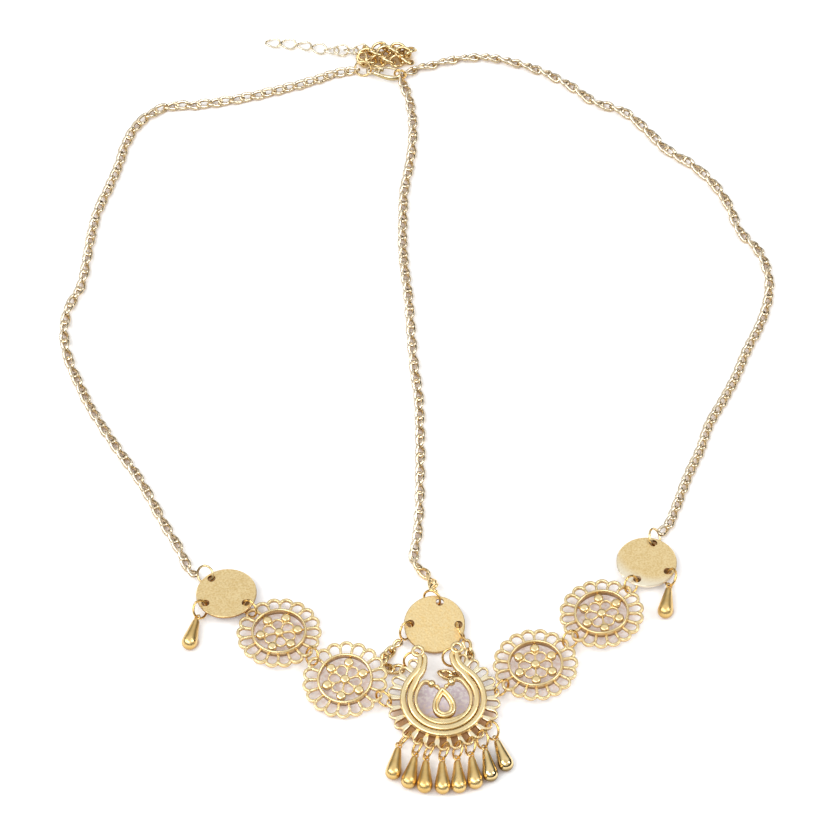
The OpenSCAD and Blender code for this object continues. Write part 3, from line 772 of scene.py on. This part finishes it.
BAND = 1.7  # height of the outer ridge
BACK = -0.3  # under side of the whole casting
ARM_MIDDLE = (10.7, 12.0)
outer = smooth(mirrored(np.concatenate([
    arc(9.78, -90, 40, 16), arc(6.25, 230, 178, 7, ARM_MIDDLE), [[4.2, 12.7]],
])), 4)
second = smooth(mirrored(np.concatenate([
    arc(8.05, -90, 34, 15), arc(7.45, 226, 180, 7, ARM_MIDDLE), [[3.6, 12.7]],
])), 4)
inner = smooth(mirrored(np.concatenate([
    arc(6.72, -90, 32, 14), [[5.1, 4.55], [4.2, 5.25], [3.3, 5.2], [2.75, 4.75]],
])), 4)


def ending(line, less):
    """Sizes along a line: 1, and from 72 % of the way to either end falling by `less`."""
    way = np.abs(np.linspace(-1, 1, len(line)))
    return 1 - less * np.clip((way - 0.72) / 0.28, 0, 1)


outer_ridge = sweep(flat(outer), oval(1.56, BACK, BAND, 14, 0.55), taper=ending(outer, 0.25))
second_ridge = sweep(flat(second), oval(1.56, BACK, BAND - 0.08, 14, 0.55), taper=ending(second, 0.3))
inner_ridge = sweep(flat(inner), oval(0.86, BACK, BAND - 0.35, 12, 0.55))


def both_sides(shell):
    """A shell and its mirror image in x, whose faces are turned round to look out again."""
    points, faces = shell
    return join(shell, (points * [-1, 1, 1], faces[:, ::-1]))


def disc_ring(radius, place, outline, sides=28):
    """A ring of an outline about its own middle, lying in the plate's plane."""
    return sweep(flat(radius * circle(sides) + np.array(place)), outline, closed=True)


eyes = both_sides(disc_ring(1.26, (4.8, 13.7), oval(0.84, 0.8, BAND, 10, 0.7)))
balls = both_sides(join(knob(1.0, (2.4, 4.5, 0.8)), knob(0.62, (1.15, 3.7, 0.5))))
print("ridge faces", len(outer_ridge[1]))

# %% The teardrop


def tear(top, bottom, half):
    """y falls from top to bottom with cos u; x is half sin u times a power of sin(u/2), which draws a tip."""
    u = 2 * np.pi * (np.arange(36) + 0.5) / 36
    y = (top + bottom) / 2 + (top - bottom) / 2 * np.cos(u)
    return np.stack([half * 1.1 * np.sin(u) * np.sin(u / 2) ** 0.9, y], -1)


teardrop = join(
    sweep(flat(tear(2.75, -4.75, 2.85)), oval(0.95, BACK, 1.45, 10, 0.65), closed=True),
    sweep(flat(tear(1.75, -3.95, 1.95)), oval(0.9, BACK, 1.15, 10, 0.65), closed=True),
)
struts = both_sides(sweep(flat([[0.35, 2.9], [1.1, 3.6], [1.8, 4.3]]), oval(0.7, BACK, 0.9, 8, 0.7)))
apart = np.linspace(-1, 1, 24) ** 2
crescent_line = flat(arc(6.0 + 0.6 * apart, -152, -28, 24))
crescent = sweep(crescent_line, oval(1.25, BACK, 1.1, 10, 0.5), taper=1 - 0.6 * apart)
print("tear faces", len(teardrop[1]))

# %% The fluted border
CELL_ROWS, CELL_COLUMNS = 33, 9  # points of a cell's grid round the slot, and across the metal
ROUND = 0.6  # share of the way round a slot that its round outer end takes


def cell(start=9.9, slot_start=10.6, slot_end=13.4, half=0.82, wire=0.46, cusp=12.75):
    """Grid (v, s): v goes round the slot, s from under its edge over the flat top to under the cell's edge.

    The edge is the slot's end moved out by the wire, drawn aside to the cusp where two cells meet.
    Both ends of the grid close to a point inside the band."""
    wedge = np.radians(7.22)  # a hair over half a cell's 14.4 degrees, so that neighbours overlap
    v = np.linspace(-1, 1, CELL_ROWS)
    turned = np.pi / 2 * np.clip(v / ROUND, -1, 1)
    leg = np.clip((np.abs(v) - ROUND) / (1 - ROUND), 0, 1)
    middle = slot_end - half
    cos, sin = np.cos(turned), np.sin(turned)
    slot = np.stack([middle + half * cos - leg * (middle - slot_start), half * sin], -1)
    round_edge = np.stack([middle + (half + wire) * cos, (half + wire) * sin], -1)
    corner = np.stack([cusp * np.cos(wedge) + 0 * v, np.sign(v) * cusp * np.sin(wedge)], -1)
    aside = np.clip((np.abs(turned) - 0.75) / (np.pi / 2 - 0.75), 0, 1)[:, None] ** 1.6
    edge = (round_edge * (1 - aside) + corner * aside) * (1 - leg * (1 - start / cusp))[:, None]
    s = np.array([0.0, 0.0, 0.03, 0.14, 0.5, 0.86, 0.97, 1.0, 1.0])[None, :, None]
    z = np.array([BACK, 0.3, 0.44, 0.52, 0.55, 0.52, 0.44, 0.3, BACK])
    z = np.where((leg[:, None] >= 1e-9) & (np.arange(CELL_COLUMNS) > 4), 0.55, z)
    z[:, -1] = BACK
    points = np.concatenate([slot[:, None] * (1 - s) + edge[:, None] * s, z[..., None]], -1)
    caps = np.repeat(points[[0, -1]].mean(1, keepdims=True), CELL_COLUMNS, 1)
    points = np.concatenate([caps[:1], points, caps[1:]])
    return outward((points.reshape(-1, 3), quads(len(points), CELL_COLUMNS)))


CELLS = 22
CELL_DEGREES = 14.4
BORDER_FOOT = 270.8  # direction of the border's middle, at the pendant's foot
# Worn polish and a painted highlight on the flat bars beside each slot.
cell_wear_and_highlight = np.clip((np.abs(np.linspace(-1, 1, CELL_ROWS)) - 0.5) / 0.2, 0, 1)
cell_wear_and_highlight = np.repeat(np.pad(cell_wear_and_highlight, 1, mode="edge"), CELL_COLUMNS)
border = ring_copies(cell(), BORDER_FOOT + CELL_DEGREES * (np.arange(-CELLS // 2, CELLS // 2) + 0.5))
seat_half = CELL_DEGREES * 10.95
seat_line = flat(arc(9.95, BORDER_FOOT - seat_half, BORDER_FOOT + seat_half, 90))
seat = sweep(seat_line, oval(0.8, BACK, 0.5, 8, 0.5))
pendant_parts = (
    (outer_ridge, BAND - 0.3), (second_ridge, BAND - 0.36), (inner_ridge, BAND - 0.7), (eyes, BAND - 0.3),
    (balls, 0.8), (teardrop, 0.95), (struts, 0.6), (crescent, 0.7), (border, 0.42), (seat, 0.45),
)
pendant = lay(join(*(shell for shell, top in pendant_parts)), "pendant")
pendant_wear_and_highlight = np.concatenate([
    np.tile(cell_wear_and_highlight, CELLS) if shell is border else np.zeros(len(shell[0]))
    for shell, top in pendant_parts
])
piece(
    "pendant_cast", pendant, cast_gold, ["pendant"],
    painted_shade=sunk(pendant_parts), wear_and_highlight=pendant_wear_and_highlight,
)

# %% [markdown]
# ## Drops
#
# A drop is cast in one with its eye. Its side is a soft S from the neck to the round belly, which
# no cone and sphere give, so a short list of radii along its length is smoothed and turned about
# the axis. A row gives the place of its eye, its heading and the eye's tilt. Each drop hangs from
# its ring and lies on the surface with its belly, so it slopes a little. Most have the satin
# finish, and the two at the right end of the row are bright.

# %% Drops
DROP_LENGTH = 7.5  # from the eye's middle to the belly's
BELLY = 1.9
DROP_TIP = 9.4
DROP_SIDES = 28
drop_rows = {
    "drop_left": ([-53.9, -69.7, 1.9], 257, -54),
    "drop_right": ([62.4, -60.2, 1.9], 261, 58),
    "drop_1": ([-4.3, -107.5, 2.1], 260, 60),
    "drop_2": ([-0.3, -110.1, 2.1], 258, 60),
    "drop_3": ([2.3, -111.2, 2.1], 267, 60),
    "drop_4": ([6.1, -111.5, 2.1], 271, 60),
    "drop_5": ([9.75, -111.2, 2.1], 273, 60),
    "drop_6": ([13.1, -110.1, 2.1], 277, 60),
    "drop_7": ([16.4, -108.1, 2.1], 280, 60),
    "drop_8": ([19.1, -105.4, 2.1], 288, 60),
}
outline = smooth([
    [0.0, 0.6], [0.36, 0.62], [0.66, 0.78], [0.86, 1.15], [0.99, 1.8], [1.16, 2.8], [1.38, 4.0], [1.61, 5.2],
    [1.8, 6.3], [BELLY, 7.1], [1.89, 7.7], [1.74, 8.35], [1.35, 8.9], [0.75, 9.27], [0.0, DROP_TIP],
], 4)
outline[:, 0] = np.clip(outline[:, 0], 0, None)
body = revolve(outline, DROP_SIDES)
eye = disc_ring(0.75, (0.0, 0.0), oval(0.42, -0.21, 0.21, 8, 1.0), 24)
drop = join((body[0] @ turn(1, 90)[0].T, body[1]), eye)
around_uv = np.tile(np.arange(DROP_SIDES) / DROP_SIDES, len(outline))
along_uv = np.repeat(outline[:, 1] / DROP_TIP, DROP_SIDES)
drop_uv = np.concatenate([np.stack([around_uv, along_uv], -1), np.zeros((len(eye[0]), 2))])
for node, (place, heading, tilt) in drop_rows.items():
    slope = np.degrees(np.arcsin((place[2] - BELLY) / DROP_LENGTH))
    matrix = turn(2, heading)[0] @ turn(1, slope)[0] @ turn(0, 90 + tilt)[0]
    shell = (drop[0] @ matrix.T + np.array(place) - MIDDLE, drop[1])
    finish = bright_drop_gold if node in ("drop_7", "drop_8") else drop_gold
    piece(node + "_cast", shell, finish, [node], uv=drop_uv)

# %% [markdown]
# ## Clasp
#
# The clasp is a lobster clasp with a slim rounded body: an eye, a curved lower arm that is thickest
# in its middle, and a nose that turns back over the mouth. The lever closes the mouth from the pin
# to the nose. Both are sweeps in the clasp's own plane, and the lever rides on a body of its own.

# %% Clasp and lever
CLASP_PLACE = np.array([-12.3, 110.0, 1.8])
CLASP_HEADING = -10.0


def lay_clasp(shell):
    """From the clasp's own plane, x from eye to nose, to its place."""
    return (shell[0] @ turn(2, CLASP_HEADING)[0].T + CLASP_PLACE - MIDDLE, shell[1])


arm_line = smooth([
    [0.95, -0.75], [2.2, -1.15], [3.7, -1.5], [5.2, -1.68], [6.7, -1.55], [7.75, -0.85], [8.0, 0.15],
    [7.6, 1.05], [6.85, 1.5],
], 4)
arm_way = np.linspace(0, 1, len(arm_line))
arm_size = np.interp(arm_way, [0, 0.15, 0.4, 0.62, 0.85, 1.0], [0.8, 1.0, 1.25, 1.1, 0.9, 0.75])
arm = sweep(flat(arm_line), oval(0.92, -0.62, 0.62, 12, 0.85), taper=arm_size)
cheek_line = smooth([[0.9, 0.75], [1.7, 0.95], [2.5, 0.95], [3.1, 0.75]], 4)
cheek = sweep(flat(cheek_line), oval(0.8, -0.66, 0.66, 12, 0.8))
bridge = sweep(flat([[2.3, 0.9], [2.2, 0.0], [2.1, -0.9]]), oval(0.95, -0.5, 0.5, 12, 0.8))
tail = disc_ring(1.02, (0.0, 0.0), oval(0.62, -0.4, 0.4, 10, 0.9), sides=24)
pin = revolve(np.array([[0.0, -0.74], [0.26, -0.72], [0.26, 0.72], [0.0, 0.74]]), 12)
pin = (pin[0] + np.array([2.35, 1.0, 0.0]), pin[1])
clasp = lay_clasp(join(arm, cheek, bridge, tail, pin))
piece("clasp_body_cast", clasp, clasp_gold, ["clasp_body"])
lever_line = smooth([[2.35, 1.2], [3.2, 1.62], [4.3, 1.86], [5.4, 1.82], [6.5, 1.6]], 4)
lever_size = np.linspace(1.15, 0.8, len(lever_line))
bar = sweep(flat(lever_line), oval(0.5, -0.3, 0.3, 10, 0.85), taper=lever_size)
thumb = knob(0.3, (4.1, 2.05, 0.0), 12, 8)
lever = lay_clasp(join(bar, thumb))
piece("clasp_lever_cast", lever, clasp_gold, ["clasp_lever"], body="lever")

# %% [markdown]
# ## The CAD pieces that stay
#
# Coins and jump rings have the right shape already, so they only get their finish.

# %% Finishes of the CAD nodes
for node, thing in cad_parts.items():
    if node == "coin_right":
        finish = dished_highlight_gold
    elif node.startswith("coin_") and "ring" not in node:
        finish = coin_gold
    elif node.startswith(("chain_ring", "clasp_ring")) and "middle" not in node:
        finish = ring_gold
    elif "ring" in node:
        finish = warm_ring_gold
    elif node.startswith("clasp"):
        finish = clasp_gold
    elif node.startswith("drop"):
        finish = drop_gold
    elif node.startswith(("rosette", "pendant")):
        finish = cast_gold
    else:
        finish = link_gold
    thing.data.materials.clear()
    thing.data.materials.append(finish)
print("nodes with a finish", len(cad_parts))

# %% [markdown]
# ## Floor and light
#
# The photograph was taken on white paper in soft light. Metal shows what it reflects, so the
# light is also what gives the gold its contrast: one soft panel stands in front and one on each
# side, and the world is pale above and dark near the horizon, most of all on the right, which
# draws the dark edges of the wire. Light that goes to and fro between metal and paper is warm.
# Painted shadows in such warm tints lie on the paper: soft pools under the openwork, the coins,
# the drops, the arm and the pile, and painted shade from Ambient Occlusion where metal is near.
# The paper also glows faintly, which is painted light.

# %% Floor
bpy.ops.mesh.primitive_plane_add(size=6.0, location=(0.0, 0.0, 0.0))
floor = bpy.context.object
floor.name = "floor"
paper = bpy.data.materials.new("white_paper")
paper.use_nodes = True
tree = paper.node_tree
shader = tree.nodes["Principled BSDF"]
shader.inputs["Roughness"].default_value = 0.7
shader.inputs["Specular IOR Level"].default_value = 0.2
# Painted light: the paper glows faintly in its own colour, which lifts its shade.
shader.inputs["Emission Strength"].default_value = 0.11
spot = tree.nodes.new("ShaderNodeTexCoord").outputs["Object"]
speckle = span(tree, noise(tree, 1100.0, 2.0, spot), 0.40, 0.56, low=0.35)


def product(a, b):
    """A socket with a times b."""
    both = tree.nodes.new("ShaderNodeMath")
    both.operation = "MULTIPLY"
    tree.links.new(a, both.inputs[0])
    tree.links.new(b, both.inputs[1])
    return both.outputs["Value"]


def shadow_pool(colour, middle, radius, soft, tone, front=None, fall=3.0, mottled=False):
    """Paint a shadow on a disc of the floor, fully inside radius - soft and not at all outside radius + soft.

    With `front`, only what lies before that y is tinted, and the edge there falls off over `fall`."""
    away = distance(tree, spot, (*middle, 0.0))
    mask = span(tree, away, (radius + soft) * MM, (radius - soft) * MM, soft=True)
    if front is not None:
        y = part(tree, spot, "Y")
        mask = product(mask, span(tree, y, (front + fall) * MM, (front - fall) * MM, soft=True))
    if mottled:
        mask = product(mask, speckle)
    return mixed(tree, mask, colour, tone)


# Painted shade: Ambient Occlusion darkens the paper in warm tints where metal is near.
shade = tree.nodes.new("ShaderNodeAmbientOcclusion")
shade.inputs["Distance"].default_value = 2.2 * MM
shade.samples = 8
shade_tones = ((0.0, (0.50, 0.32, 0.17)), (0.3, (0.92, 0.80, 0.73)), (0.55, (0.99, 0.99, 0.99)))
colour = ramp(tree, shade.outputs["AO"], shade_tones)
for node, (place, *turns) in plates.items():
    x, y = (np.array(place) - MIDDLE)[:2]
    # Painted shadows: under the pendant, brown below the border's lower slots and mottled lilac-grey under
    # the openings; under each rosette, a mottled pinkish grey.
    if node == "pendant":
        colour = shadow_pool(colour, (x, y + 0.7), 12.8, 0.8, (0.66, 0.40, 0.20), front=y - 0.5, fall=4.5)
        lilac_shadow = (0.72, 0.65, 0.72)
        colour = shadow_pool(colour, (x, y + 1.9), 6.9, 0.7, lilac_shadow, front=y + 6.9, fall=0.8, mottled=True)
    else:
        colour = shadow_pool(colour, (x, y + 0.4), 8.2, 1.9, (0.82, 0.71, 0.67), mottled=True)
# Painted shadows under the pile, the coins, the drops and the lyre's arm.
pile_shadows = [(x, y, 2.3, 1.1, (0.76, 0.55, 0.28)) for x, y in (
    (-13.6, 114.8), (-9.8, 115.8), (-6.0, 115.8), (-3.4, 115.6),
)]
coin_shadows = [(x, y, 7.0, 0.3, (0.36, 0.21, 0.09)) for x, y in (
    (-46.9, -61.2), (4.4, -70.7), (57.0, -51.6),
)]
drop_shadows = []
for (x, y, z), heading, tilt in drop_rows.values():
    belly_x, belly_y = arc(0.84 * DROP_LENGTH, heading, heading, 1, (x, y))[0]
    drop_shadows.append((belly_x, belly_y, 1.95, 0.4, (0.70, 0.48, 0.28)))
arm_shadow = (7.5, -85.1, 1.2, 0.8, (0.66, 0.44, 0.24))
for x, y, radius, soft, tone in (*pile_shadows, *coin_shadows, *drop_shadows, arm_shadow):
    colour = shadow_pool(colour, (x - MIDDLE[0], y - MIDDLE[1]), radius, soft, tone)
tree.links.new(colour, shader.inputs["Base Color"])
tree.links.new(colour, shader.inputs["Emission Color"])
floor.data.materials.append(paper)
print("floor", tuple(floor.dimensions))

# %% Lights and world


def panel(name, place, size, power):
    """A square area light that faces the origin."""
    light = bpy.data.lights.new(name, "AREA")
    light.shape = "SQUARE"
    light.size = size
    light.energy = power
    thing = bpy.data.objects.new(name, light)
    thing.location = place
    x, y, z = unit(np.array(place))
    thing.rotation_euler = (np.arccos(z), 0.0, np.arctan2(x, -y))
    bpy.context.scene.collection.objects.link(thing)


panel("key_panel", (-0.55, -0.95, 1.45), 0.9, 9.0)
panel("left_panel", (-1.3, -0.15, 1.3), 0.8, 10.0)
panel("right_panel", (1.3, -0.15, 1.3), 0.8, 10.0)

world = bpy.data.worlds.new("studio")
bpy.context.scene.world = world
world.use_nodes = True
tree = world.node_tree
direction = tree.nodes.new("ShaderNodeTexCoord").outputs["Generated"]
greys = ((0.0, 0.05), (0.25, 0.08), (0.45, 0.45), (0.62, 0.88), (0.82, 0.96), (1.0, 0.74))
sky = ramp(tree, part(tree, direction, "Z"), [(height, (grey, grey, grey)) for height, grey in greys])
dusk = span(tree, part(tree, direction, "X"), 0.45, 0.8, 0.0, 0.85, soft=True)
sky = mixed(tree, dusk, sky, (0.02, 0.02, 0.02))
tree.links.new(sky, tree.nodes["Background"].inputs["Color"])
bpy.context.scene.view_settings.view_transform = "Standard"
bpy.context.scene.view_settings.exposure = 0.0
